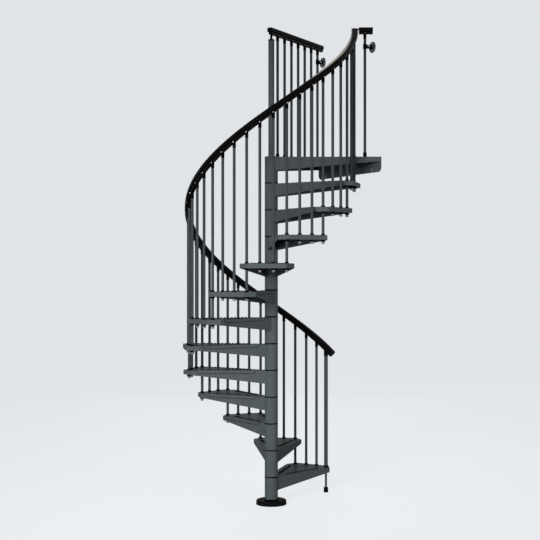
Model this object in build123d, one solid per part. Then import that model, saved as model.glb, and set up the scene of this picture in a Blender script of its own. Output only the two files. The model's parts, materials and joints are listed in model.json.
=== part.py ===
"""Spiral staircase: twelve steel treads stacked on a central column, a landing plate, and its balustrade.

Frame: millimetres, +Z up, origin on the floor on the column's axis, +X square to the wall that the
landing is bolted to.  The flight climbs anticlockwise seen from above.
"""
import os
from math import atan, cos, degrees, radians, sin, tan

from build123d import *

# ---- flight -------------------------------------------------------------------------------------
RISE = 215.0                  # floor to tread, tread to tread, last tread to landing
TREADS = 12
STEP_ANGLE = 26.0             # turn from one tread to the next
BALUSTERS_PER_STEP = 3
BALUSTER_CIRCLE_R = 668.0     # column axis to the balusters
ARRIVAL_ANGLE = 1.0           # from the last baluster to the landing's near edge direction

# ---- column -------------------------------------------------------------------------------------
HUB_R = 53.0
HUB_WALL = 3.0
SPACER_HEIGHT = 10.0
SPACER_PROUD = 0.5
BASE_PLATE_R = 110.0
BASE_PLATE_THICKNESS = 8.0
COVER_R = 121.5
COVER_HEIGHT = 35.0
COVER_WALL = 2.5
COVER_EDGE_RADIUS = 8.0
COVER_RIM_WIDTH = 1.5
COVER_RIM_HEIGHT = 5.0
COLUMN_COLLAR_WIDTH = 3.2
COLUMN_COLLAR_HEIGHT = 9.0

# ---- treads -------------------------------------------------------------------------------------
SHEET = 3.0                   # folded sheet of treads and landing
FOLD_RADIUS = 2.5             # outside of the sheet's folds
TREAD_END_MARGIN = 33.0       # baluster circle to the tread's outer edge
TREAD_CHAMFER_LENGTH = 89.0
TREAD_CORNER_OVERLAP = 56.0   # flank corner beyond the end hole, sideways
TREAD_ROOT_HALF_WIDTH = 36.0  # where the flanks' lines pass the axis
RIM_DEPTH = 36.0              # folded edge at the outer end
ROOT_DEPTH = 105.0            # folded edge at the hub
HOLE_CLEARANCE = 0.5

# ---- landing ------------------------------------------------------------------------------------
WALL_SPACING = 76.0           # baluster circle to the wall's face, along +X
LANDING_HALF_ANGLE = 30.0     # each side edge from square to the wall
LANDING_EDGE_OFFSET = 45.0    # each side edge's line from the column axis
WALL_PLATE_THICKNESS = 6.0
WALL_PLATE_DEPTH = 120.0
WALL_PLATE_CHAMFER = 25.0
WALL_BOLT_SPACING = 350.0
WALL_BOLT_DROP = 100.0        # landing top down to the bolts
WALL_BOLT_HOLE_R = 6.0

# ---- balusters and their fittings ---------------------------------------------------------------
BALUSTER_R = 11.0
FITTING_CLEARANCE = 0.25
BALUSTER_TAIL = 50.0          # how far a baluster reaches below its own tread's top
COLLAR_BASE_R = 17.5
COLLAR_TOP_R = 13.5
COLLAR_HEIGHT = 12.0
SLEEVE_R = 14.0
SLEEVE_FLANGE_R = 17.5
SLEEVE_FLANGE_HEIGHT = 9.0    # the wide lower end, below the tread's folded edge
NUT_R = 12.5
NUT_HEIGHT = 17.0
CAP_R = 13.0
CAP_LENGTH = 37.0             # on the baluster's axis, below the handrail
CAP_BORE_DEPTH = 22.0
FOOT_R = 14.75
FOOT_HEIGHT = 36.0
FIRST_POST_R = 16.0
FIRST_ROD_R = 9.0             # the first post's rod from its tread to the floor
FIRST_COLLAR_R = 20.0
FIRST_CAP_R = 18.0
FLOOR_FOOT_R = 20.0
FLOOR_FOOT_TOP_R = 17.5
FLOOR_FOOT_HEIGHT = 42.0
FLOOR_FOOT_WEB = 12.0         # solid bottom of the foot, below the rod

# ---- handrail -----------------------------------------------------------------------------------
RAIL_ABOVE_TREAD = 1043.5     # tread front edge, or landing, to the handrail's top
RAIL_OFFSET = 3.0             # the stair handrail's centre line outside the baluster circle
RAIL_WIDTH = 51.0
RAIL_DEPTH = 53.0
RAIL_TOP_RADIUS = 13.0
RAIL_BOTTOM_RADIUS = 5.0
RAIL_START_OVERHANG = 6.0     # degrees before the first post
RAIL_END_OVERHANG = 1.5       # degrees past the last baluster
RAIL_END_DROP = 9.5           # level cut on the stair handrail's end, below the landing handrail's top
RAIL_SEAT = 0.7               # slit between a cap and the handrail

# ---- landing balustrade -------------------------------------------------------------------------
LANDING_BALUSTERS = 7
FIRST_LANDING_BALUSTER = 99.5
LAST_BALUSTER_TO_WALL = 83.7  # along the landing handrail
LANDING_RAIL_START = 40.0     # how far the landing handrail runs past the column axis
WALL_SIDE_SPACING = 86.0      # baluster circle to the single baluster beside the wall
WALL_SIDE_RAIL_BEFORE = 48.5  # that baluster to its handrail's end by the stair
WALL_SIDE_RAIL_AFTER = 63.0   # that baluster to its handrail's end by the wall
LINK_WIDTH = 16.0
LINK_THICKNESS = 9.0
NEWEL_R = 24.15
NEWEL_WALL = 3.0
NEWEL_DISC_R = 52.0
NEWEL_DISC_HEIGHT = 5.0
NEWEL_CAP_R = 25.5
NEWEL_CAP_HEIGHT = 10.0
NEWEL_NECK_R = 10.0
NEWEL_NECK_LENGTH = 41.0
BRACKET_BELOW_RAIL = 152.0    # landing handrail's top down to the wall brackets' axis
BRACKET_CLAMP_R = 15.5
BRACKET_CLAMP_HEIGHT = 40.0
BRACKET_ARM_R = 15.5
BRACKET_DISC_R = 44.5
BRACKET_DISC_THICKNESS = 5.0
BRACKET_SPIGOT_R = 12.0
BRACKET_SPIGOT_LENGTH = 16.0  # from the disc's back to the wall

# ---- worked out from the sizes above ------------------------------------------------------------
BALUSTER_ANGLE = STEP_ANGLE / BALUSTERS_PER_STEP
LAST_BALUSTER = TREADS * BALUSTERS_PER_STEP
FIRST_AZIMUTH = -LANDING_HALF_ANGLE - ARRIVAL_ANGLE - TREADS * STEP_ANGLE
LANDING_TOP = (TREADS + 1) * RISE
RISE_PER_RADIAN = RISE / radians(STEP_ANGLE)
RAIL_CIRCLE_R = BALUSTER_CIRCLE_R + RAIL_OFFSET
RAIL_SLOPE = RISE_PER_RADIAN / RAIL_CIRCLE_R
RAIL_TILT = degrees(atan(RAIL_SLOPE))
RAIL_DEPTH_UPRIGHT = RAIL_DEPTH / cos(radians(RAIL_TILT))
LANDING_RAIL_TOP = LANDING_TOP + RAIL_ABOVE_TREAD
LANDING_RAIL_UNDERSIDE = LANDING_RAIL_TOP - RAIL_DEPTH
HOLE_R = BALUSTER_R + HOLE_CLEARANCE
FITTING_BORE_R = BALUSTER_R + FITTING_CLEARANCE
ROD_BORE_R = FIRST_ROD_R + FITTING_CLEARANCE
TREAD_END_X = BALUSTER_CIRCLE_R + TREAD_END_MARGIN
TREAD_CORNER_X = TREAD_END_X - TREAD_CHAMFER_LENGTH
END_HOLE_Y = BALUSTER_CIRCLE_R * sin(radians(STEP_ANGLE / 2))
WALL_X = BALUSTER_CIRCLE_R + WALL_SPACING
PLATE_BACK_X = WALL_X - WALL_PLATE_THICKNESS
BRACKET_DISC_X = WALL_X - BRACKET_SPIGOT_LENGTH - BRACKET_DISC_THICKNESS
LAST_LANDING_BALUSTER = WALL_X / cos(radians(LANDING_HALF_ANGLE)) - LAST_BALUSTER_TO_WALL
WALL_SIDE_BALUSTER = BALUSTER_CIRCLE_R + WALL_SIDE_SPACING
BRACKET_Z = LANDING_RAIL_TOP - BRACKET_BELOW_RAIL
RAIL_END_TOP = LANDING_RAIL_TOP - RAIL_END_DROP


# ---- helpers ------------------------------------------------------------------------------------
def tube(outer_r, inner_r, bottom, top):
    """An upright tube on the axis."""
    solid = upright(outer_r, bottom, top)
    return solid - upright(inner_r, bottom - 1, top + 1)


def upright(r, bottom, top):
    """An upright round bar on the axis."""
    return Pos(0, 0, bottom) * extrude(Circle(r), top - bottom)


def taper(bottom_r, top_r, bottom, top):
    """An upright cone frustum on the axis."""
    return Pos(0, 0, (bottom + top) / 2) * Cone(bottom_r, top_r, top - bottom)


def around(azimuth, radius, shape):
    """The shape moved out to a radius and turned to an azimuth, in degrees."""
    return Rot(0, 0, azimuth) * Pos(radius, 0, 0) * shape


def prism(points, bottom, top):
    """An upright prism on a plan outline."""
    return Pos(0, 0, bottom) * extrude(Polygon(*points, align=None), top - bottom)


def side_prism(points, half_width):
    """A prism on an (x, z) side outline, as wide to each side of the XZ plane."""
    return extrude(Plane.XZ * Polygon(*points, align=None), half_width, both=True)


def inset(points, distance):
    """A convex outline, anticlockwise, with every edge moved inwards."""
    corners = []
    count = len(points)
    for i in range(count):
        before = Vector(*points[i - 1])
        here = Vector(*points[i])
        after = Vector(*points[(i + 1) % count])
        incoming = (here - before).normalized()
        outgoing = (after - here).normalized()
        normal_in = Vector(-incoming.Y, incoming.X)
        normal_out = Vector(-outgoing.Y, outgoing.X)
        bisector = normal_in + normal_out
        corner = here + bisector * (distance / bisector.dot(normal_in))
        corners.append((corner.X, corner.Y))
    return corners


def folded_plate(outline, side_outline, half_width):
    """A sheet with its edges folded down, their depth following the side outline."""
    depth = max(-z for _, z in side_outline)
    block = prism(outline, -depth, 0) & side_prism(side_outline, half_width)
    block = fillet(block.edges().group_by(Axis.Z)[-1], FOLD_RADIUS)
    return block - prism(inset(outline, SHEET), -depth - 1, -SHEET)


def baluster_azimuth(k):
    return FIRST_AZIMUTH + k * BALUSTER_ANGLE


def rail_top(k):
    """Height of the stair handrail's top over baluster k."""
    return RISE + RAIL_ABOVE_TREAD + k * RISE / BALUSTERS_PER_STEP


def rail_underside(k):
    return rail_top(k) - RAIL_DEPTH_UPRIGHT


def baluster_bottom(k):
    """The tail end of baluster k, below the tread that holds it."""
    tread = (k + BALUSTERS_PER_STEP - 1) // BALUSTERS_PER_STEP
    return tread * RISE - BALUSTER_TAIL


def below_sloping_rail(shape, k):
    """The shape cut off parallel to the stair handrail, just under it; the rail climbs towards +Y."""
    reach = 4 * FIRST_CAP_R
    cutter = Rot(RAIL_TILT, 0, 0) * Pos(0, 0, reach / 2) * Box(2 * reach, 2 * reach, reach)
    return shape - Pos(0, 0, rail_underside(k) - RAIL_SEAT) * cutter


def rail_section(plane):
    """The handrail's cross-section, its top towards the plane's Y axis and centred on its origin."""
    outline = Rectangle(RAIL_WIDTH, RAIL_DEPTH)
    top_corners = outline.vertices().group_by(Axis.Y)[-1]
    outline = fillet(top_corners, RAIL_TOP_RADIUS)
    bottom_corners = outline.vertices().group_by(Axis.Y)[0]
    outline = fillet(bottom_corners, RAIL_BOTTOM_RADIUS)
    return plane * outline


# ---- column -------------------------------------------------------------------------------------
def base_plate():
    return upright(BASE_PLATE_R, 0, BASE_PLATE_THICKNESS)


def base_cover():
    shell = upright(COVER_R, 0, COVER_HEIGHT)
    shell = fillet(shell.edges().group_by(Axis.Z)[-1], COVER_EDGE_RADIUS)
    shell += upright(COVER_R + COVER_RIM_WIDTH, 0, COVER_RIM_HEIGHT)
    shell -= upright(COVER_R - COVER_WALL, -1, COVER_HEIGHT - COVER_WALL)
    return shell - upright(HUB_R + FITTING_CLEARANCE, 0, COVER_HEIGHT + 1)


def column_collar():
    inner = HUB_R + FITTING_CLEARANCE
    return tube(inner + COLUMN_COLLAR_WIDTH, inner, COVER_HEIGHT, COVER_HEIGHT + COLUMN_COLLAR_HEIGHT)


def spacer_rings():
    rings = []
    for n in range(1, TREADS + 1):
        rings.append(tube(HUB_R + SPACER_PROUD, HUB_R - HUB_WALL, n * RISE, n * RISE + SPACER_HEIGHT))
    return rings


def hub(bottom, top):
    return tube(HUB_R, HUB_R - HUB_WALL, bottom, top)


# ---- treads -------------------------------------------------------------------------------------
def tread_outline():
    """Plan of a tread pointing along +X, anticlockwise."""
    corner_y = END_HOLE_Y + TREAD_CORNER_OVERLAP
    near_side = [
        (0, -TREAD_ROOT_HALF_WIDTH),
        (TREAD_CORNER_X, -corner_y),
        (TREAD_END_X, -END_HOLE_Y),
    ]
    far_side = [(x, -y) for x, y in reversed(near_side)]
    return near_side + far_side


def tread_side_outline():
    return [
        (0, 0),
        (0, -ROOT_DEPTH),
        (HUB_R / 2, -ROOT_DEPTH),
        (TREAD_CORNER_X, -RIM_DEPTH),
        (TREAD_END_X, -RIM_DEPTH),
        (TREAD_END_X, 0),
    ]


def tread(n):
    """Tread n of the flight, welded to its length of column."""
    plate = folded_plate(tread_outline(), tread_side_outline(), TREAD_END_X)
    plate -= upright(HUB_R - HUB_WALL / 2, -2 * ROOT_DEPTH, 1)
    for i in range(BALUSTERS_PER_STEP + 1):
        angle = i * BALUSTER_ANGLE - STEP_ANGLE / 2
        plate -= around(angle, BALUSTER_CIRCLE_R, upright(HOLE_R, -ROOT_DEPTH, 1))
    first_hub = n == 1
    hub_bottom = BASE_PLATE_THICKNESS if first_hub else (n - 1) * RISE + SPACER_HEIGHT
    azimuth = baluster_azimuth((n - 1) * BALUSTERS_PER_STEP) + STEP_ANGLE / 2
    return Rot(0, 0, azimuth) * (Pos(0, 0, n * RISE) * plate + hub(hub_bottom, n * RISE))


# ---- landing ------------------------------------------------------------------------------------
def landing_edge_y(x):
    """Where the landing's left edge line passes at a distance x from the axis, towards the wall."""
    slope = tan(radians(LANDING_HALF_ANGLE))
    return LANDING_EDGE_OFFSET / cos(radians(LANDING_HALF_ANGLE)) + slope * x


def landing_platform():
    """The landing plate, open towards the wall plate, welded to its length of column."""
    root_x = -LANDING_EDGE_OFFSET * sin(radians(LANDING_HALF_ANGLE))
    outline = [
        (root_x, -landing_edge_y(root_x)),
        (PLATE_BACK_X, -landing_edge_y(PLATE_BACK_X)),
        (PLATE_BACK_X, landing_edge_y(PLATE_BACK_X)),
        (root_x, landing_edge_y(root_x)),
    ]
    side = [
        (root_x, 0),
        (root_x, -ROOT_DEPTH),
        (HUB_R, -ROOT_DEPTH),
        (PLATE_BACK_X, -RIM_DEPTH),
        (PLATE_BACK_X, 0),
    ]
    plate = folded_plate(outline, side, 2 * WALL_X)
    plate -= upright(HUB_R - HUB_WALL / 2, -2 * ROOT_DEPTH, 1)
    plate -= around(
        baluster_azimuth(LAST_BALUSTER), BALUSTER_CIRCLE_R, upright(HOLE_R, -ROOT_DEPTH, 1)
    )
    return Pos(0, 0, LANDING_TOP) * plate + hub(LANDING_TOP - RISE + SPACER_HEIGHT, LANDING_TOP)


def landing_wall_plate():
    half = landing_edge_y(PLATE_BACK_X)
    top = LANDING_TOP
    bottom = LANDING_TOP - WALL_PLATE_DEPTH
    outline = [
        (-half, top),
        (-half, bottom + WALL_PLATE_CHAMFER),
        (-half + WALL_PLATE_CHAMFER, bottom),
        (half - WALL_PLATE_CHAMFER, bottom),
        (half, bottom + WALL_PLATE_CHAMFER),
        (half, top),
    ]
    face = Plane(origin=(PLATE_BACK_X, 0, 0), x_dir=(0, 1, 0), z_dir=(1, 0, 0))
    plate = extrude(face * Polygon(*outline, align=None), WALL_PLATE_THICKNESS)
    for y in (-WALL_BOLT_SPACING, 0, WALL_BOLT_SPACING):
        hole = Plane(origin=(PLATE_BACK_X - 1, y, top - WALL_BOLT_DROP), z_dir=(1, 0, 0))
        plate -= extrude(hole * Circle(WALL_BOLT_HOLE_R), WALL_PLATE_THICKNESS + 2)
    return plate


# ---- stair balustrade ---------------------------------------------------------------------------
def stair_baluster(k):
    """Baluster k: a straight bar from below its tread up into its cap."""
    top = rail_underside(k) - CAP_LENGTH + CAP_BORE_DEPTH
    return around(baluster_azimuth(k), BALUSTER_CIRCLE_R, upright(BALUSTER_R, baluster_bottom(k), top))


def stair_balusters(n):
    """The three balusters that tread n holds."""
    first = (n - 1) * BALUSTERS_PER_STEP + 1
    return [stair_baluster(k) for k in range(first, first + BALUSTERS_PER_STEP)]


def first_post():
    """The wider post at the foot of the flight, with a rod through the first tread to its foot."""
    post = upright(FIRST_POST_R, RISE, rail_underside(0) - CAP_LENGTH + CAP_BORE_DEPTH)
    post += upright(FIRST_ROD_R, FLOOR_FOOT_WEB, RISE + 1)
    return around(FIRST_AZIMUTH, BALUSTER_CIRCLE_R, post)


def first_post_foot():
    foot = taper(FLOOR_FOOT_R, FLOOR_FOOT_TOP_R, 0, FLOOR_FOOT_HEIGHT)
    foot -= upright(ROD_BORE_R, FLOOR_FOOT_WEB, FLOOR_FOOT_HEIGHT + 1)
    return around(FIRST_AZIMUTH, BALUSTER_CIRCLE_R, foot)


def sloping_cap(k, cap_r, bore_r):
    """The black cap on top of baluster k, cut to the handrail's slope."""
    bottom = rail_underside(k) - CAP_LENGTH
    cap = upright(cap_r, bottom, rail_underside(k) + 2 * cap_r)
    cap -= upright(bore_r, bottom - 1, bottom + CAP_BORE_DEPTH)
    return around(baluster_azimuth(k), BALUSTER_CIRCLE_R, below_sloping_rail(cap, k))


def collar(bottom):
    """A low domed collar round a baluster where it enters a tread."""
    ring = taper(COLLAR_BASE_R, COLLAR_TOP_R, bottom, bottom + COLLAR_HEIGHT)
    return ring - upright(FITTING_BORE_R, bottom - 1, bottom + COLLAR_HEIGHT + 1)


def baluster_collars():
    """Collars on every tread, the wide one of the first post, and the one on the landing."""
    wide = tube(FIRST_COLLAR_R, FIRST_POST_R + FITTING_CLEARANCE, RISE, RISE + COLLAR_HEIGHT)
    collars = [around(FIRST_AZIMUTH, BALUSTER_CIRCLE_R, wide)]
    for n in range(1, TREADS + 1):
        for i in range(BALUSTERS_PER_STEP + 1):
            k = (n - 1) * BALUSTERS_PER_STEP + i
            if k > 0:
                collars.append(around(baluster_azimuth(k), BALUSTER_CIRCLE_R, collar(n * RISE)))
    collars.append(around(baluster_azimuth(LAST_BALUSTER), BALUSTER_CIRCLE_R, collar(LANDING_TOP)))
    return collars


def sleeve(k, level):
    """A flanged sleeve round baluster k, under the sheet whose top is at this level."""
    bore_r = FITTING_BORE_R if k else ROD_BORE_R
    low = level - BALUSTER_TAIL
    shape = upright(SLEEVE_R, low, level - SHEET) + upright(SLEEVE_FLANGE_R, low, low + SLEEVE_FLANGE_HEIGHT)
    shape -= upright(bore_r, low - 1, level + 1)
    return around(baluster_azimuth(k), BALUSTER_CIRCLE_R, shape)


def baluster_sleeves():
    """Sleeves under every hole of the treads, and under the landing."""
    sleeves = []
    for n in range(1, TREADS + 1):
        for i in range(BALUSTERS_PER_STEP + 1):
            sleeves.append(sleeve((n - 1) * BALUSTERS_PER_STEP + i, n * RISE))
    sleeves.append(sleeve(LAST_BALUSTER, LANDING_TOP))
    return sleeves


def tread_nuts():
    """Domed nuts on the tail ends of the balusters."""
    nuts = []
    for k in range(1, LAST_BALUSTER + 1):
        top = baluster_bottom(k)
        nut = upright(NUT_R, top - NUT_HEIGHT, top)
        nut = fillet(nut.edges().group_by(Axis.Z)[0], NUT_R / 2)
        nuts.append(around(baluster_azimuth(k), BALUSTER_CIRCLE_R, nut))
    return nuts


def stair_handrail():
    """The helical handrail, its section square to the helix."""
    start = FIRST_AZIMUTH - RAIL_START_OVERHANG
    end = baluster_azimuth(LAST_BALUSTER) + RAIL_END_OVERHANG
    lift = RISE_PER_RADIAN * radians(end - start)
    helix = Helix(pitch=RISE * 360 / STEP_ANGLE, height=lift, radius=RAIL_CIRCLE_R)
    tangent = helix % 0
    outwards = Vector(1, 0, 0)
    section = rail_section(Plane(origin=helix @ 0, x_dir=outwards, z_dir=-tangent))
    rail = sweep(section, path=helix, is_frenet=True)
    centre_over_first = rail_top(0) - RAIL_DEPTH_UPRIGHT / 2
    bottom = centre_over_first - RISE_PER_RADIAN * radians(RAIL_START_OVERHANG)
    rail = Rot(0, 0, start) * Pos(0, 0, bottom) * rail
    return rail - upright(2 * RAIL_CIRCLE_R, RAIL_END_TOP, LANDING_TOP + LANDING_RAIL_TOP)


# ---- landing balustrade -------------------------------------------------------------------------
def landing_baluster_places():
    """(azimuth, distance) of every baluster that stands on the landing."""
    places = []
    pitch = (LAST_LANDING_BALUSTER - FIRST_LANDING_BALUSTER) / (LANDING_BALUSTERS - 1)
    for i in range(LANDING_BALUSTERS):
        places.append((LANDING_HALF_ANGLE, FIRST_LANDING_BALUSTER + i * pitch))
    places.append((-LANDING_HALF_ANGLE, WALL_SIDE_BALUSTER))
    return places


def landing_balusters():
    bars = []
    for azimuth, distance in landing_baluster_places():
        bar = upright(BALUSTER_R, LANDING_TOP, LANDING_RAIL_UNDERSIDE - CAP_LENGTH + CAP_BORE_DEPTH)
        bars.append(around(azimuth, distance, bar))
    return bars


def landing_feet():
    feet = []
    for azimuth, distance in landing_baluster_places():
        foot = tube(FOOT_R, FITTING_BORE_R, LANDING_TOP, LANDING_TOP + FOOT_HEIGHT)
        feet.append(around(azimuth, distance, foot))
    return feet


def baluster_caps():
    caps = [sloping_cap(0, FIRST_CAP_R, FIRST_POST_R + FITTING_CLEARANCE)]
    for k in range(1, LAST_BALUSTER + 1):
        caps.append(sloping_cap(k, CAP_R, FITTING_BORE_R))
    bottom = LANDING_RAIL_UNDERSIDE - CAP_LENGTH
    for azimuth, distance in landing_baluster_places():
        cap = upright(CAP_R, bottom, LANDING_RAIL_UNDERSIDE)
        cap -= upright(FITTING_BORE_R, bottom - 1, bottom + CAP_BORE_DEPTH)
        caps.append(around(azimuth, distance, cap))
    return caps


def straight_rail(start, end, top):
    """A level handrail along +X."""
    plane = Plane(origin=(start, 0, top - RAIL_DEPTH / 2), x_dir=(0, 1, 0), z_dir=(1, 0, 0))
    return extrude(rail_section(plane), end - start)


def landing_handrail():
    """Runs over the newel, with a rounded end there, and is cut flush with the wall."""
    nose_x = RAIL_WIDTH / 2 - LANDING_RAIL_START
    plan = Pos(nose_x + WALL_X, 0) * Rectangle(2 * WALL_X, RAIL_WIDTH)
    plan += Pos(nose_x, 0) * Circle(RAIL_WIDTH / 2)
    rail = Pos(0, 0, LANDING_RAIL_UNDERSIDE) * extrude(plan, RAIL_DEPTH)
    rail = fillet(rail.edges().group_by(Axis.Z)[-1], RAIL_TOP_RADIUS)
    rail = fillet(rail.edges().group_by(Axis.Z)[0], RAIL_BOTTOM_RADIUS)
    wall = Pos(WALL_X, 0, LANDING_TOP) * Box(
        4 * WALL_X, 8 * WALL_X, 4 * LANDING_TOP, align=(Align.MIN, Align.CENTER, Align.CENTER)
    )
    return Rot(0, 0, LANDING_HALF_ANGLE) * rail - wall


def wall_side_handrail():
    start = WALL_SIDE_BALUSTER - WALL_SIDE_RAIL_BEFORE
    end = WALL_SIDE_BALUSTER + WALL_SIDE_RAIL_AFTER
    return Rot(0, 0, -LANDING_HALF_ANGLE) * straight_rail(start, end, LANDING_RAIL_TOP)


def handrail_link():
    """The short flat bar that joins the stair handrail's end to the wall-side handrail."""
    start = RAIL_CIRCLE_R + RAIL_WIDTH / 2 + RAIL_SEAT
    end = WALL_SIDE_BALUSTER - WALL_SIDE_RAIL_BEFORE
    centre = ((start + end) / 2, 0, RAIL_END_TOP - LINK_THICKNESS / 2)
    return Rot(0, 0, -LANDING_HALF_ANGLE) * Pos(*centre) * Box(end - start, LINK_WIDTH, LINK_THICKNESS)


def landing_newel():
    disc_top = LANDING_TOP + NEWEL_DISC_HEIGHT
    newel = upright(NEWEL_DISC_R, LANDING_TOP, disc_top)
    cap_bottom = LANDING_RAIL_UNDERSIDE - NEWEL_NECK_LENGTH - NEWEL_CAP_HEIGHT
    return newel + tube(NEWEL_R, NEWEL_R - NEWEL_WALL, disc_top - 1, cap_bottom)


def newel_cap():
    cap_top = LANDING_RAIL_UNDERSIDE - NEWEL_NECK_LENGTH
    cap = upright(NEWEL_CAP_R, cap_top - NEWEL_CAP_HEIGHT, cap_top)
    return cap + upright(NEWEL_NECK_R, cap_top - 1, LANDING_RAIL_UNDERSIDE)


# ---- wall brackets ------------------------------------------------------------------------------
def bracket_places():
    """(x, y) of the two balusters that are stayed to the wall."""
    last_far = landing_baluster_places()[LANDING_BALUSTERS - 1]
    near = landing_baluster_places()[-1]
    places = []
    for azimuth, distance in (last_far, near):
        places.append((distance * cos(radians(azimuth)), distance * sin(radians(azimuth))))
    return places


def wall_bracket_arms():
    """A clamp round the baluster and its arm to the disc on the wall."""
    arms = []
    low = BRACKET_Z - BRACKET_CLAMP_HEIGHT / 2
    high = BRACKET_Z + BRACKET_CLAMP_HEIGHT / 2
    for x, y in bracket_places():
        length = BRACKET_DISC_X - x
        arm = extrude(Plane(origin=(0, 0, BRACKET_Z), z_dir=(1, 0, 0)) * Circle(BRACKET_ARM_R), length)
        bracket = upright(BRACKET_CLAMP_R, low, high) + arm - upright(FITTING_BORE_R, low - 1, high + 1)
        arms.append(Pos(x, y, 0) * bracket)
    return arms


def wall_bracket_discs():
    """The round plates at the arms' ends, each with a spigot that seats on the wall."""
    discs = []
    for _, y in bracket_places():
        face = Plane(origin=(BRACKET_DISC_X, y, BRACKET_Z), z_dir=(1, 0, 0))
        disc = extrude(face * Circle(BRACKET_DISC_R), BRACKET_DISC_THICKNESS)
        disc += extrude(face * Circle(BRACKET_SPIGOT_R), BRACKET_DISC_THICKNESS + BRACKET_SPIGOT_LENGTH)
        discs.append(disc)
    return discs


# ---- the assembly -------------------------------------------------------------------------------
def build():
    """Every node's name and its solids."""
    nodes = {
        "base_plate": base_plate(),
        "base_cover": base_cover(),
        "column_collar": column_collar(),
        "spacer_rings": spacer_rings(),
        "landing_platform": landing_platform(),
        "landing_wall_plate": landing_wall_plate(),
        "first_post": first_post(),
        "first_post_foot": first_post_foot(),
        "baluster_collars": baluster_collars(),
        "baluster_sleeves": baluster_sleeves(),
        "baluster_caps": baluster_caps(),
        "tread_nuts": tread_nuts(),
        "stair_handrail": stair_handrail(),
        "landing_balusters": landing_balusters(),
        "landing_feet": landing_feet(),
        "landing_handrail": landing_handrail(),
        "wall_side_handrail": wall_side_handrail(),
        "handrail_link": handrail_link(),
        "landing_newel": landing_newel(),
        "newel_cap": newel_cap(),
        "wall_bracket_arms": wall_bracket_arms(),
        "wall_bracket_discs": wall_bracket_discs(),
    }
    for n in range(1, TREADS + 1):
        nodes[f"tread_{n:02d}"] = tread(n)
        nodes[f"balusters_{n:02d}"] = stair_balusters(n)
    return nodes


def write(name, shape):
    """One STEP file, holding the node's solids side by side."""
    if isinstance(shape, list):
        solids = [solid for piece in shape for solid in piece.solids()]
        shape = Compound(children=solids)
    export_step(shape, f"parts/{name}.step")


os.makedirs("parts", exist_ok=True)
for node_name, node_shape in build().items():
    write(node_name, node_shape)
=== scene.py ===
"""Looks for the spiral staircase: finishes, tread studs and strips, handrails, screws, stage and camera."""

import json
from math import atan, cos, pi, radians, sin, sqrt

import bmesh
import bpy
from mathutils import Matrix, Vector

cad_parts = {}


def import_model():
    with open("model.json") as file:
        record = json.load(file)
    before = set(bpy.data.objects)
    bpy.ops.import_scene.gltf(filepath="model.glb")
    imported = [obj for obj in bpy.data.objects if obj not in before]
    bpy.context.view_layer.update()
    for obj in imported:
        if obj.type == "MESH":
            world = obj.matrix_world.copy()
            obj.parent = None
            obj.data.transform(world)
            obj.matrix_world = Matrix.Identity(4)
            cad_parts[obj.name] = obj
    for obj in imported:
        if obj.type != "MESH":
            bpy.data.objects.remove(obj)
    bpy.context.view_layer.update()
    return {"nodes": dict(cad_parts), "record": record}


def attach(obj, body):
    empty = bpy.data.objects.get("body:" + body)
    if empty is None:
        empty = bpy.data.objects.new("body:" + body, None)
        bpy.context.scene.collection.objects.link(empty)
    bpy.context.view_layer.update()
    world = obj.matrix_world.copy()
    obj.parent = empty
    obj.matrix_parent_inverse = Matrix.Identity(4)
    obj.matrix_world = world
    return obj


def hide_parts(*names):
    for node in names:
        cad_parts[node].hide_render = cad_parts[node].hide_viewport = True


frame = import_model()

# ---- sizes of the stair, in metres and degrees ---------------------------------------------------
RISE = 0.215
TREADS = 12
STEP_ANGLE = 26.0
BARS_PER_STEP = 3
BAR_ANGLE = STEP_ANGLE / BARS_PER_STEP
LAST_BAR = TREADS * BARS_PER_STEP
LANDING_HALF_ANGLE = 30.0           # each side edge from square to the wall
ARRIVAL_ANGLE = 1.0                 # from the last bar to the landing's near edge direction
FIRST_AZIMUTH = -LANDING_HALF_ANGLE - ARRIVAL_ANGLE - TREADS * STEP_ANGLE
LANDING_TOP = (TREADS + 1) * RISE

TREAD_CORNER = (0.612, 0.2063)      # where a flank meets the chamfer, from the axis
TREAD_ROOT_HALF_WIDTH = 0.036       # where the flanks' lines pass the axis
FLANK_TILT = atan((TREAD_CORNER[1] - TREAD_ROOT_HALF_WIDTH) / TREAD_CORNER[0])

RAIL_ABOVE_TREAD = 1.0435           # tread front edge, or landing, to the handrail's top
RAIL_CIRCLE_R = 0.671
RAIL_WIDTH = 0.051
RAIL_DEPTH = 0.053
RAIL_START_OVERHANG = 6.0           # degrees before the first post
RAIL_END_OVERHANG = 1.5             # degrees past the last bar
RAIL_END_DROP = 0.0095              # level cut on the stair handrail's end, below the landing handrail's top
RAIL_START = FIRST_AZIMUTH - RAIL_START_OVERHANG
RAIL_END = -LANDING_HALF_ANGLE - ARRIVAL_ANGLE + RAIL_END_OVERHANG
LANDING_RAIL_TOP = LANDING_TOP + RAIL_ABOVE_TREAD
RAIL_END_TOP = LANDING_RAIL_TOP - RAIL_END_DROP
RISE_PER_RADIAN = RISE / radians(STEP_ANGLE)
RAIL_TILT = atan(RISE_PER_RADIAN / RAIL_CIRCLE_R)
RAIL_DEPTH_UPRIGHT = RAIL_DEPTH / cos(RAIL_TILT)
LANDING_RAIL_START = 0.04           # how far the landing handrail runs past the column's axis
WALL_SIDE_RAIL = (0.7055, 0.817)    # start and end of the short handrail by the wall

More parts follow.
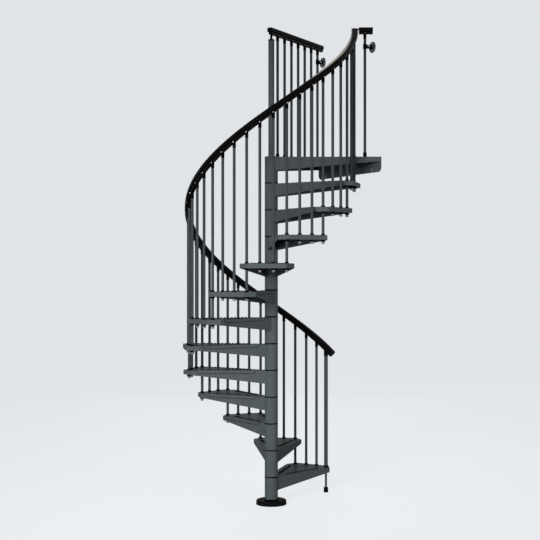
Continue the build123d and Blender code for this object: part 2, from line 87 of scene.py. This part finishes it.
WALL_X = 0.744
WALL_PLATE_THICKNESS = 0.006
WALL_PLATE_FACE_X = WALL_X - WALL_PLATE_THICKNESS
WALL_BOLT_DROP = 0.1                # landing top down to the bolts
WALL_BOLT_Z = LANDING_TOP - WALL_BOLT_DROP
WALL_BOLT_SPACING = 0.35
FIRST_LANDING_BAR = 0.0995          # from the axis, along the landing handrail
LAST_BAR_TO_WALL = 0.0837
LAST_LANDING_BAR = WALL_X / cos(radians(LANDING_HALF_ANGLE)) - LAST_BAR_TO_WALL
LANDING_BARS = 7
WALL_SIDE_BAR = 0.754
BRACKET_BELOW_RAIL = 0.152          # landing handrail's top down to the wall brackets' axis
BRACKET_Z = LANDING_RAIL_TOP - BRACKET_BELOW_RAIL
ARM_R = 0.0155
DISC_FRONT = 0.021                  # the wall to the front face of a bracket's disc
DISC_FACE_X = WALL_X - DISC_FRONT

# ---- camera --------------------------------------------------------------------------------------
VIEW_TURN = 28.9                    # the view's heading, clockwise from +Y
CAMERA_DISTANCE = 9.0               # level distance to the column's axis
CAMERA_SIDE = -0.0105               # and how far to the right of it
EYE_HEIGHT = 1.886
FOCAL_SHARE = 1115.6 / 540          # focal length over the picture's width
SENSOR_WIDTH = 36.0
VIEW_END = 1000.0                   # the furthest distance that the camera sees


# ---- node helpers --------------------------------------------------------------------------------
def rgba(value):
    """A colour input's value from a grey level or an (r, g, b)."""
    colour = value if isinstance(value, tuple) else (value, value, value)
    return (*colour, 1.0)


def node(tree, kind, **inputs):
    """A new node with the inputs that are named by keyword."""
    made = tree.nodes.new(kind)
    for name, value in inputs.items():
        made.inputs[name].default_value = value
    return made


def material(name, roughness, metallic=0.0):
    """A material with its tree, shader and an object-space position."""
    made = bpy.data.materials.new(name)
    made.use_nodes = True
    tree = made.node_tree
    shader = tree.nodes["Principled BSDF"]
    shader.inputs["Roughness"].default_value = roughness
    shader.inputs["Metallic"].default_value = metallic
    place = tree.nodes.new("ShaderNodeTexCoord").outputs["Object"]
    return made, tree, shader, place


def noise(tree, place, scale, detail):
    """A noise texture's value, about 0.5 on average."""
    made = node(tree, "ShaderNodeTexNoise", Scale=scale, Detail=detail)
    tree.links.new(place, made.inputs["Vector"])
    return made.outputs["Fac"]


def ramp(tree, factor, stops):
    """A colour ramp between two stops, each (position, (r, g, b)) or (position, grey)."""
    made = tree.nodes.new("ShaderNodeValToRGB")
    tree.links.new(factor, made.inputs["Fac"])
    for element, (position, value) in zip(made.color_ramp.elements, stops):
        element.position = position
        element.color = rgba(value)
    return made.outputs["Color"]


# ---- finishes ------------------------------------------------------------------------------------
DRIFT_SCALE = 9.0             # the broad drift in colour
PATCH_SCALE = 55.0            # the patches of more and less gloss
NOISE_RANGE = (0.3, 0.7)      # noise values that get the two ends of a drift
GRAIN_STRENGTH = 0.35


def drifting(tree, place, scale, detail, low, high):
    """A colour or grey level that wanders between two ends."""
    return ramp(tree, noise(tree, place, scale, detail), list(zip(NOISE_RANGE, (low, high))))


def mottled(name, colour, spread, roughness, rough_spread, grain, depth, metallic=0.0, specular=0.5):
    """A finish whose colour and gloss drift a little, over a fine surface grain."""
    made, tree, shader, place = material(name, roughness, metallic)
    shader.inputs["Specular IOR Level"].default_value = specular
    low = tuple(c * (1 - spread) for c in colour)
    high = tuple(c * (1 + spread) for c in colour)
    tree.links.new(drifting(tree, place, DRIFT_SCALE, 4.0, low, high), shader.inputs["Base Color"])
    gloss = drifting(tree, place, PATCH_SCALE, 3.0, roughness - rough_spread, roughness + rough_spread)
    tree.links.new(gloss, shader.inputs["Roughness"])
    bump = node(tree, "ShaderNodeBump", Strength=GRAIN_STRENGTH, Distance=depth)
    tree.links.new(noise(tree, place, grain, 2.0), bump.inputs["Height"])
    tree.links.new(bump.outputs["Normal"], shader.inputs["Normal"])
    return made


STEEL = (0.095, 0.112, 0.120)
# the bars' and first post's powder coat: the same paint as STEEL, made darker as painted shade
SHADED_BAR_STEEL = (0.062, 0.074, 0.080)
DISC_GREY = (0.11, 0.127, 0.137)
BLACK = (0.0035, 0.0035, 0.0038)
COVER_BLACK = (0.009, 0.009, 0.0093)
ZINC = (0.42, 0.43, 0.44)
# near-white zinc for the small screw heads: painted glint, in place of the highlights that the lamps don't
# give them
GLINT_PAINTED_ZINC = (0.85, 0.86, 0.87)

# each: name, colour and its spread, roughness and its spread, the grain's scale and depth
powder = mottled("powder_coat", STEEL, 0.05, 0.32, 0.05, 1400.0, 0.00006, specular=0.02)
# painted shade: the powder coat again, darker, for the bars and first post
shaded_bar_coat = mottled("bar_powder_coat_painted_shade", SHADED_BAR_STEEL, 0.05, 0.34, 0.05, 1400.0, 0.00006, specular=0.05)
black = mottled("black_plastic", BLACK, 0.2, 0.45, 0.06, 1900.0, 0.0001, specular=0.02)
cover_black = mottled("cover_plastic", COVER_BLACK, 0.1, 0.4, 0.05, 1500.0, 0.0001, specular=0.02)
rail_skin = mottled("handrail_skin", BLACK, 0.2, 0.14, 0.02, 900.0, 0.00001, specular=0.1)
zinc = mottled("zinc_plate", ZINC, 0.08, 0.3, 0.06, 1500.0, 0.0001, metallic=0.6)
# painted glint: zinc made near-white so that the small screw heads show as light dots
zinc_painted_glint = mottled("zinc_painted_glint", GLINT_PAINTED_ZINC, 0.05, 0.25, 0.05, 1500.0, 0.0001, metallic=0.3)
disc_paint = mottled("disc_paint", DISC_GREY, 0.05, 0.4, 0.05, 1400.0, 0.0001, specular=0.1)

FINISH = {
    "painted_steel": powder,
    "black_plastic": black,
    "handrail": rail_skin,
    "zinc": zinc,
    "grey_disc": disc_paint,
}
NODE_FINISH = {"landing_balusters": shaded_bar_coat, "first_post": shaded_bar_coat, "base_cover": cover_black}


def node_finish(name, slot):
    """The finish of one of the stair's nodes: its own, the bars' and first post's being a darker copy of the
    powder coat as painted shade, or else its material slot's.
    """
    if name.startswith("balusters_"):
        return shaded_bar_coat
    return NODE_FINISH.get(name, FINISH[slot])


for entry in frame["record"]["subparts"]:
    materials = frame["nodes"][entry["node"]].data.materials
    materials.clear()
    materials.append(node_finish(entry["node"], entry["material_slot"]))


# ---- mesh helpers --------------------------------------------------------------------------------
CREASE = 35.0                 # degrees between two faces that makes a sharp edge
TURNED_CREASE = 50.0          # the same on small domed shapes
UP = Vector((0, 0, 1))


def add_object(name, data):
    """A new object in the scene."""
    made = bpy.data.objects.new(name, data)
    bpy.context.scene.collection.objects.link(made)
    return made


def piece(name, mesh_data, slot, crease=CREASE, replaces=(), finish=None):
    """A finished piece of the stair from a bmesh, riding on its one body."""
    mesh = bpy.data.meshes.new(name)
    bmesh.ops.recalc_face_normals(mesh_data, faces=mesh_data.faces)
    mesh_data.to_mesh(mesh)
    mesh_data.free()
    mesh.shade_smooth()
    mesh.set_sharp_from_angle(angle=radians(crease))
    mesh.materials.append(finish or FINISH[slot])
    made = add_object(name, mesh)
    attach(made, "root")
    if replaces:
        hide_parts(*replaces)


def upright_turn(azimuth, radius, height):
    """Moves a shape from the axis out to an azimuth, radius and height."""
    return Matrix.Rotation(radians(azimuth), 4, "Z") @ Matrix.Translation((radius, 0, height))


def loft(shape, rings, closed=True, capped=True):
    """Quads between rings of points; each ring is a closed outline unless told otherwise."""
    made = [[shape.verts.new(point) for point in ring] for ring in rings]
    count = len(rings[0])
    for low, high in zip(made, made[1:]):
        for i in range(count if closed else count - 1):
            j = (i + 1) % count
            shape.faces.new((low[i], low[j], high[j], high[i]))
    if capped:
        shape.faces.new(made[0])
        shape.faces.new(made[-1])


def turned_form(shape, place, profile, sides=20):
    """A solid of revolution about the place's Z axis; the profile is (radius, height) from base to crown."""
    rings = []
    for radius, height in profile:
        ring = []
        for i in range(sides):
            angle = 2 * pi * i / sides
            ring.append(place @ Vector((radius * cos(angle), radius * sin(angle), height)))
        rings.append(ring)
    loft(shape, rings)


def facing(point, direction):
    """A place at a point whose Z axis looks along a direction."""
    return Matrix.Translation(point) @ Vector(direction).to_track_quat("Z", "Y").to_matrix().to_4x4()


# ---- treads --------------------------------------------------------------------------------------
GRIP_PITCH = 0.029
GRIP_COUNT = 13               # in a row
GRIP_FROM = 0.185             # the row's first stud, from the axis
GRIP_INSET = 0.052            # either edge to its row of studs
GRIP_R = 0.0085
GRIP_HEIGHT = 0.0062
GRIP_PROFILE = ((1.0, 0.0), (0.96, 0.7), (0.8, 0.95), (0.4, 1.0))  # shares of the radius and height
GRIP_SIDES = 16
STRIP_FROM = 0.112            # the strip's ends at the tread's edge, from the axis
STRIP_TO = 0.596
STRIP_WIDTH = 0.04            # of its part on the tread
STRIP_DROP = 0.02             # of its part over the edge
STRIP_SHEET = 0.0015
STRIP_EDGE = 0.0035           # width of the black band painted as the strip's shadow line round its drop
STRIP_EDGE_THICKNESS = 0.0012
STRIP_EDGE_GAP = 0.0002       # the tread's flank to the painted shadow band


def tread_place(n):
    """Where tread n lies: its middle line along X, its top at height 0."""
    azimuth = FIRST_AZIMUTH + (n - 1) * STEP_ANGLE + STEP_ANGLE / 2
    return upright_turn(azimuth, 0.0, n * RISE)


def flank(side):
    """The start, run and outward direction of a flank's top edge; side 1 is the rear one, -1 the front."""
    along = Vector((cos(FLANK_TILT), side * sin(FLANK_TILT), 0))
    outwards = Vector((-sin(FLANK_TILT), side * cos(FLANK_TILT), 0))
    return Vector((0, side * TREAD_ROOT_HALF_WIDTH, 0)), along, outwards


def grips(shape, place):
    """The rows of round studs along the tread's front and rear edges, black all over as painted shade for
    the shadow in their pressed holes.
    """
    profile = [(GRIP_R * across, GRIP_HEIGHT * up) for across, up in GRIP_PROFILE]
    for side in (-1, 1):
        root, along, outwards = flank(side)
        for i in range(GRIP_COUNT):
            centre = root + along * (GRIP_FROM + i * GRIP_PITCH) - outwards * GRIP_INSET
            turned_form(shape, place @ Matrix.Translation(centre), profile, GRIP_SIDES)


def strip(shape, place):
    """The thin angle strip folded over the tread's rear edge, its ends cut at 45 degrees."""
    root, along, outwards = flank(1)
    ends = []
    for reach, slope in ((STRIP_FROM, 1), (STRIP_TO, -1)):
        edge = root + along * reach + outwards * STRIP_SHEET
        inner = edge + (along * slope - outwards) * STRIP_WIDTH
        low = edge + (along * slope - UP) * STRIP_DROP
        outline = (inner + UP * STRIP_SHEET, edge + UP * STRIP_SHEET, low)
        outline += (low - outwards * STRIP_SHEET, edge - outwards * STRIP_SHEET, inner)
        ends.append([shape.verts.new(place @ point) for point in outline])
    first, last = ends
    for i in range(len(first)):
        shape.faces.new((first[i - 1], first[i], last[i], last[i - 1]))
    for corners in ends:
        shape.faces.new([corners[i] for i in (0, 1, 4, 5)])  # the end of the part on the tread
        shape.faces.new(corners[1:5])                        # and of the part over the edge


def strip_painted_shadow(shape, place):
    """A black band along the sloped ends and the lower edge of the strip, painted shade for the shadow line
    under its edge.
    """
    root, along, outwards = flank(1)
    base = root + outwards * STRIP_EDGE_GAP
    slant = STRIP_EDGE * sqrt(2)
    corner = STRIP_DROP - slant + STRIP_EDGE
    bottom = STRIP_DROP + STRIP_EDGE
    rings = []
    for outer_and_inner in (  # (reach from the axis, drop below the tread's top)
        ((STRIP_FROM - slant, 0), (STRIP_FROM, 0)),
        ((STRIP_FROM + corner, bottom), (STRIP_FROM + STRIP_DROP, STRIP_DROP)),
        ((STRIP_TO - corner, bottom), (STRIP_TO - STRIP_DROP, STRIP_DROP)),
        ((STRIP_TO + slant, 0), (STRIP_TO, 0)),
    ):
        near = [base + (along * reach - UP * drop) for reach, drop in outer_and_inner]
        far = [point + outwards * STRIP_EDGE_THICKNESS for point in reversed(near)]
        rings.append([place @ point for point in near + far])
    loft(shape, rings)


for n in range(1, TREADS + 1):
    place = tread_place(n)
    # black studs and strip band: painted shade for the shadow in the studs' holes and under the strip's edge
    studs_and_painted_shadow = bmesh.new()
    grips(studs_and_painted_shadow, place)
    strip_painted_shadow(studs_and_painted_shadow, place)
    piece(f"tread_studs_and_painted_shadow_{n:02d}", studs_and_painted_shadow, "black_plastic", TURNED_CREASE)
    folded_sheet = bmesh.new()
    strip(folded_sheet, place)
    piece(f"tread_strip_{n:02d}", folded_sheet, "painted_steel")


# ---- handrails -----------------------------------------------------------------------------------
RAIL_TOP_RADIUS = 0.009
RAIL_CROWN = 0.0012           # how far the top's rounded edges start below its middle
RAIL_LIP = -0.0065            # the wide part's lower edge, above the section's middle
RAIL_LIP_RADIUS = 0.004
RAIL_FOOT_WIDTH = 0.030       # the narrow part below it
RAIL_FOOT_CHAMFER = 0.001
CROWN_STEPS = 4
TOP_EDGE_STEPS = 8
LIP_STEPS = 5
NOSE_STEPS = 24               # round the landing handrail's end at the newel
HELIX_STEPS = 240
WELD = 1e-6                   # points nearer than this are one


def half_profile():
    """(outwards, up) points down one side of the handrail's section, from its top's middle to its foot's."""
    half = RAIL_WIDTH / 2
    top = RAIL_DEPTH / 2
    flat = half - RAIL_TOP_RADIUS
    points = []
    for i in range(CROWN_STEPS):
        points.append((flat * i / CROWN_STEPS, top - RAIL_CROWN * (i / CROWN_STEPS) ** 2))
    for i in range(TOP_EDGE_STEPS + 1):
        angle = pi / 2 * (1 - i / TOP_EDGE_STEPS)
        drop = RAIL_CROWN + RAIL_TOP_RADIUS * (1 - sin(angle))
        points.append((half - RAIL_TOP_RADIUS * (1 - cos(angle)), top - drop))
    for i in range(LIP_STEPS + 1):
        angle = pi / 2 * i / LIP_STEPS
        across = half - RAIL_LIP_RADIUS * (1 - cos(angle))
        points.append((across, RAIL_LIP + RAIL_LIP_RADIUS * (1 - sin(angle))))
    foot = RAIL_FOOT_WIDTH / 2
    points += [(foot, RAIL_LIP), (foot, RAIL_FOOT_CHAMFER - top)]
    return points + [(foot - RAIL_FOOT_CHAMFER, -top), (0.0, -top)]


def full_profile():
    """The handrail's whole section, as a closed outline."""
    half = half_profile()
    return half + [(-across, up) for across, up in reversed(half[1:-1])]


def stair_rail():
    """The helical handrail, its section square to the helix, with its top end cut off level."""
    shape = bmesh.new()
    middle_height = RISE + RAIL_ABOVE_TREAD - RAIL_DEPTH_UPRIGHT / 2
    rings = []
    for i in range(HELIX_STEPS + 1):
        azimuth = RAIL_START + (RAIL_END - RAIL_START) * i / HELIX_STEPS
        turn = radians(azimuth)
        outwards = Vector((cos(turn), sin(turn), 0))
        run = Vector((-sin(turn) * RAIL_CIRCLE_R, cos(turn) * RAIL_CIRCLE_R, RISE_PER_RADIAN))
        upwards = outwards.cross(run.normalized())
        middle = outwards * RAIL_CIRCLE_R
        middle.z = middle_height + RISE_PER_RADIAN * radians(azimuth - FIRST_AZIMUTH)
        ring = []
        for across, up in full_profile():
            point = middle + outwards * across + upwards * up
            point.z = min(point.z, RAIL_END_TOP)
            ring.append(point)
        rings.append(ring)
    loft(shape, rings)
    piece("stair_rail_profile", shape, "handrail", replaces=["stair_handrail"])


def level_rail_place(azimuth):
    """Where a level handrail lies: X along its run from the axis, height 0 in its section's middle."""
    middle = Matrix.Translation((0, 0, LANDING_RAIL_TOP - RAIL_DEPTH / 2))
    return middle @ Matrix.Rotation(radians(azimuth), 4, "Z")


def landing_rail():
    """The level handrail over the landing: rounded round its end at the newel, cut flush with the wall."""
    shape = bmesh.new()
    turn = radians(LANDING_HALF_ANGLE)
    nose = RAIL_WIDTH / 2 - LANDING_RAIL_START

    def wall_end(side):
        """One side of the section where the wall's face cuts it."""
        ring = []
        for across, up in half_profile():
            sideways = side * across
            ring.append(((WALL_X + sideways * sin(turn)) / cos(turn), sideways, up))
        return ring

    def nose_ring(angle):
        """One side of the section, turned round the rounded end."""
        return [(nose + across * cos(angle), across * sin(angle), up) for across, up in half_profile()]

    rounded = [nose_ring(pi / 2 + pi * i / NOSE_STEPS) for i in range(NOSE_STEPS + 1)]
    rings = [wall_end(1), *rounded, wall_end(-1)]
    place = level_rail_place(LANDING_HALF_ANGLE)
    loft(shape, [[place @ Vector(point) for point in ring] for ring in rings], closed=False, capped=False)
    bmesh.ops.remove_doubles(shape, verts=shape.verts, dist=WELD)
    bmesh.ops.holes_fill(shape, edges=[edge for edge in shape.edges if edge.is_boundary])
    piece("landing_rail_profile", shape, "handrail", replaces=["landing_handrail"])


def wall_side_rail():
    """The short level handrail beside the wall, cut square at both ends."""
    shape = bmesh.new()
    place = level_rail_place(-LANDING_HALF_ANGLE)
    rings = []
    for reach in WALL_SIDE_RAIL:
        rings.append([place @ Vector((reach, across, up)) for across, up in full_profile()])
    loft(shape, rings)
    piece("wall_side_rail_profile", shape, "handrail", replaces=["wall_side_handrail"])


stair_rail()
landing_rail()
wall_side_rail()


# ---- screws and bolts ----------------------------------------------------------------------------
SCREW_PROFILE = (             # (radius, height) in shares of the head's radius
    (1.0, 0.0),
    (1.0, 0.3),
    (0.86, 0.52),
    (0.5, 0.62),              # the socket's edge
    (0.42, 0.25),             # and its bottom
)
RAIL_SCREW_R = 0.005
LANDING_SCREW_R = 0.0042
DISC_SCREW_R = 0.0055
ARM_SCREW_R = 0.0045
RAIL_SCREW_RISE = 0.0065      # the handrail's underside to the screws in its narrow part
RAIL_SCREW_SEAT = 0.0003      # how deep a head sits in the surface
ARM_SCREW_SEAT = 0.0005
DISC_SCREW_OFFSET = 0.030     # the disc's middle to either screw
ARM_SCREW_REACHES = (0.0205, 0.0315)  # the bar to an arm's two screws
WASHER_PROFILE = ((0.0145, 0.0), (0.0145, 0.0018), (0.0135, 0.0025))
WASHER_SIDES = 28
BOLT_HEAD_PROFILE = ((0.0098, 0.0022), (0.0098, 0.0078), (0.0086, 0.0088))
BOLT_HEAD_SIDES = 6


def screw_head(shape, point, direction, radius):
    """A domed screw head with a round socket."""
    profile = [(radius * across, radius * up) for across, up in SCREW_PROFILE]
    turned_form(shape, facing(point, direction), profile)


def landing_bar_places():
    """(azimuth, distance) of every bar on the landing."""
    pitch = (LAST_LANDING_BAR - FIRST_LANDING_BAR) / (LANDING_BARS - 1)
    places = [(LANDING_HALF_ANGLE, FIRST_LANDING_BAR + i * pitch) for i in range(LANDING_BARS)]
    return places + [(-LANDING_HALF_ANGLE, WALL_SIDE_BAR)]


def rail_screws():
    """A screw over every cap, in the outer side of the handrails' narrow part."""
    side = RAIL_FOOT_WIDTH / 2 - RAIL_SCREW_SEAT
    shape = bmesh.new()
    for k in range(LAST_BAR + 1):
        azimuth = FIRST_AZIMUTH + k * BAR_ANGLE
        underside = RISE + RAIL_ABOVE_TREAD + k * RISE / BARS_PER_STEP - RAIL_DEPTH_UPRIGHT
        place = upright_turn(azimuth, RAIL_CIRCLE_R + side, underside + RAIL_SCREW_RISE)
        screw_head(shape, place.translation, place.to_3x3() @ Vector((1, 0, 0)), RAIL_SCREW_R)
    # these screw heads take the near-white zinc, a painted glint
    piece("rail_screws", shape, "zinc", TURNED_CREASE, finish=zinc_painted_glint)
    shape = bmesh.new()
    for azimuth, distance in landing_bar_places():
        place = upright_turn(azimuth, distance, LANDING_RAIL_TOP - RAIL_DEPTH + RAIL_SCREW_RISE)
        outwards = place.to_3x3() @ Vector((0, -1, 0))
        screw_head(shape, place.translation + outwards * side, outwards, LANDING_SCREW_R)
    piece("landing_rail_screws", shape, "zinc", TURNED_CREASE)


def wall_bolts():
    """Hexagon bolt heads on washers, on the landing's wall plate."""
    shape = bmesh.new()
    for y in (-WALL_BOLT_SPACING, 0.0, WALL_BOLT_SPACING):
        place = facing((WALL_PLATE_FACE_X, y, WALL_BOLT_Z), (-1, 0, 0))
        turned_form(shape, place, WASHER_PROFILE, WASHER_SIDES)
        turned_form(shape, place, BOLT_HEAD_PROFILE, BOLT_HEAD_SIDES)
    piece("wall_bolts", shape, "zinc")


def bracket_screws():
    """Two screws on each wall disc and the pair of clamping screws in each arm."""
    shape = bmesh.new()
    for azimuth, distance in ((-LANDING_HALF_ANGLE, WALL_SIDE_BAR), (LANDING_HALF_ANGLE, LAST_LANDING_BAR)):
        bar = upright_turn(azimuth, distance, BRACKET_Z).translation
        for side in (-1, 1):
            point = Vector((DISC_FACE_X, bar.y, BRACKET_Z + side * DISC_SCREW_OFFSET))
            screw_head(shape, point, (-1, 0, 0), DISC_SCREW_R)
        for reach in ARM_SCREW_REACHES:
            point = bar + Vector((reach, ARM_SCREW_SEAT - ARM_R, 0))
            screw_head(shape, point, (0, -1, 0), ARM_SCREW_R)
    # these screw heads take the near-white zinc, a painted glint
    piece("bracket_screws", shape, "zinc", TURNED_CREASE, finish=zinc_painted_glint)


rail_screws()
wall_bolts()
bracket_screws()


# ---- floor, light and camera ---------------------------------------------------------------------
PALE = (0.755, 0.775, 0.80)   # the studio's background as the camera sees it
GLOSSY_SHARE = 0.19           # how much of it shows in glossy surfaces
ROOM_LEVEL = 0.27             # light from all round, level with the eye
CEILING_LEVEL = 0.05          # and from straight above
FLOOR_HALF = 400.0            # half the floor's side
FLOOR_ROUGHNESS = 0.9
FLOOR_SHADE = 0.1             # the floor's colour for the light that it throws back
FLOOR_SHOWN = 0.3             # and for the light and shadow that show on it
FLOOR_LIGHT = (ROOM_LEVEL + 2 * CEILING_LEVEL) / 3  # what the room gives it, far from the lamps
LAMP_SIZE = (5.0, 3.4)
LAMP_SPREAD = 50.0            # degrees
LAMP_DISTANCE = 8.5
KEY_SIDE = 22.0               # degrees to the left of the camera, round the column
KEY_HEIGHT = 2.6
KEY_AIM = 1.3                 # the height on the column it points at
KEY_POWER = 75.0
FILL_SIDE = -62.0             # the weak lamp to the right of the camera
FILL_HEIGHT = 1.9
FILL_POWER = 17.0
BACK_HEIGHT = 1.9             # the lamp beyond the column
BACK_POWER = 62.0
WINDOW_PLACE = (-1.15, 6.3, 10.2)  # to the right of the column, beyond it, and above the floor
WINDOW_AIM = 3.4
WINDOW_SIZE = (1.4, 4.0)
WINDOW_SPREAD = 180.0
WINDOW_POWER = 50.0
WINDOW_COLOUR = (1.0, 0.92, 0.77)
WHITE = (1.0, 1.0, 1.0)


def seen_directly(tree):
    """1 for camera and transmission rays, a share for glossy rays, 0 for light that is bounced on."""
    path = tree.nodes.new("ShaderNodeLightPath")
    glossy = tree.nodes.new("ShaderNodeMath")
    glossy.operation = "MULTIPLY"
    glossy.inputs[1].default_value = GLOSSY_SHARE
    tree.links.new(path.outputs["Is Glossy Ray"], glossy.inputs[0])
    total = glossy.outputs[0]
    for name in ("Is Camera Ray", "Is Transmission Ray"):
        largest = tree.nodes.new("ShaderNodeMath")
        largest.operation = "MAXIMUM"
        tree.links.new(total, largest.inputs[0])
        tree.links.new(path.outputs[name], largest.inputs[1])
        total = largest.outputs[0]
    return total


def end_in_both(tree, thrown_back, seen, output):
    """Ends a tree in one shader for the light it gives and another for what is seen of it."""
    mix = tree.nodes.new("ShaderNodeMixShader")
    tree.links.new(seen_directly(tree), mix.inputs["Fac"])
    tree.links.new(thrown_back.outputs[0], mix.inputs[1])
    tree.links.new(seen.outputs[0], mix.inputs[2])
    tree.links.new(mix.outputs[0], tree.nodes[output].inputs["Surface"])


def floor():
    """A plain floor that shows as the background's tone with the stair's faint shadow on it."""
    mesh = bpy.data.meshes.new("floor")
    corners = [(FLOOR_HALF * x, FLOOR_HALF * y, 0) for x, y in ((-1, -1), (1, -1), (1, 1), (-1, 1))]
    mesh.from_pydata(corners, [], [(0, 1, 2, 3)])
    plane = add_object("floor", mesh)
    made, tree, shader, _ = material("floor_paint", FLOOR_ROUGHNESS)
    shader.inputs["Base Color"].default_value = rgba(FLOOR_SHADE)
    shader.inputs["Specular IOR Level"].default_value = 0.0
    shown = node(tree, "ShaderNodeBsdfDiffuse", Color=rgba(FLOOR_SHOWN))
    rest = tuple(value - FLOOR_SHOWN * FLOOR_LIGHT for value in PALE)
    glow = node(tree, "ShaderNodeEmission", Color=rgba(rest))
    both = tree.nodes.new("ShaderNodeAddShader")
    tree.links.new(shown.outputs[0], both.inputs[0])
    tree.links.new(glow.outputs[0], both.inputs[1])
    end_in_both(tree, shader, both, "Material Output")
    mesh.materials.append(made)


def world():
    """A pale background, and a room that lights the stair from all round and less from above."""
    made = bpy.data.worlds.new("studio")
    made.use_nodes = True
    tree = made.node_tree
    room = tree.nodes["Background"]
    direction = tree.nodes.new("ShaderNodeTexCoord").outputs["Generated"]
    parts = tree.nodes.new("ShaderNodeSeparateXYZ")
    tree.links.new(direction, parts.inputs[0])
    level = ramp(tree, parts.outputs["Z"], [(0.0, ROOM_LEVEL), (1.0, CEILING_LEVEL)])
    tree.links.new(level, room.inputs["Color"])
    pale = node(tree, "ShaderNodeBackground", Color=rgba(PALE))
    end_in_both(tree, room, pale, "World Output")
    bpy.context.scene.world = made


def turned(right, away):
    """A point given to the right of and beyond the column as the camera sees it, in the stair's frame."""
    turn = radians(VIEW_TURN)
    return right * cos(turn) + away * sin(turn), -right * sin(turn) + away * cos(turn)


def camera():
    """The photograph's camera, looking level."""
    data = bpy.data.cameras.new("camera")
    data.sensor_width = SENSOR_WIDTH
    data.lens = SENSOR_WIDTH * FOCAL_SHARE
    data.clip_end = VIEW_END
    made = add_object("camera", data)
    made.location = (*turned(CAMERA_SIDE, -CAMERA_DISTANCE), EYE_HEIGHT)
    made.rotation_euler = (pi / 2, 0, -radians(VIEW_TURN))
    bpy.context.scene.camera = made


def lamp(name, place, aim, power, size=LAMP_SIZE, spread=LAMP_SPREAD, colour=WHITE, mirrored=False):
    """A rectangular lamp at (right, away, height), facing the column at a height."""
    data = bpy.data.lights.new(name, "AREA")
    data.shape = "RECTANGLE"
    data.size, data.size_y = size
    data.energy = power
    data.spread = radians(spread)
    data.color = colour
    made = add_object(name, data)
    right, away, height = place
    made.location = (*turned(right, away), height)
    backwards = made.location - Vector((0, 0, aim))
    made.rotation_euler = backwards.to_track_quat("Z", "Y").to_euler()
    made.visible_camera = False
    made.visible_glossy = mirrored


def camera_side(side, height):
    """A lamp's place on the camera's side of the column, so many degrees to its left."""
    return -LAMP_DISTANCE * sin(radians(side)), -LAMP_DISTANCE * cos(radians(side)), height


def lights():
    """The key, fill and back lamps, and the window that the handrail mirrors."""
    lamp("key", camera_side(KEY_SIDE, KEY_HEIGHT), KEY_AIM, KEY_POWER)
    lamp("fill", camera_side(FILL_SIDE, FILL_HEIGHT), FILL_HEIGHT, FILL_POWER)
    lamp("back", (0.0, LAMP_DISTANCE, BACK_HEIGHT), BACK_HEIGHT, BACK_POWER)
    lamp("window", WINDOW_PLACE, WINDOW_AIM, WINDOW_POWER, WINDOW_SIZE, WINDOW_SPREAD, WINDOW_COLOUR, True)


floor()
world()
camera()
lights()

bpy.context.scene.view_settings.view_transform = "Standard"
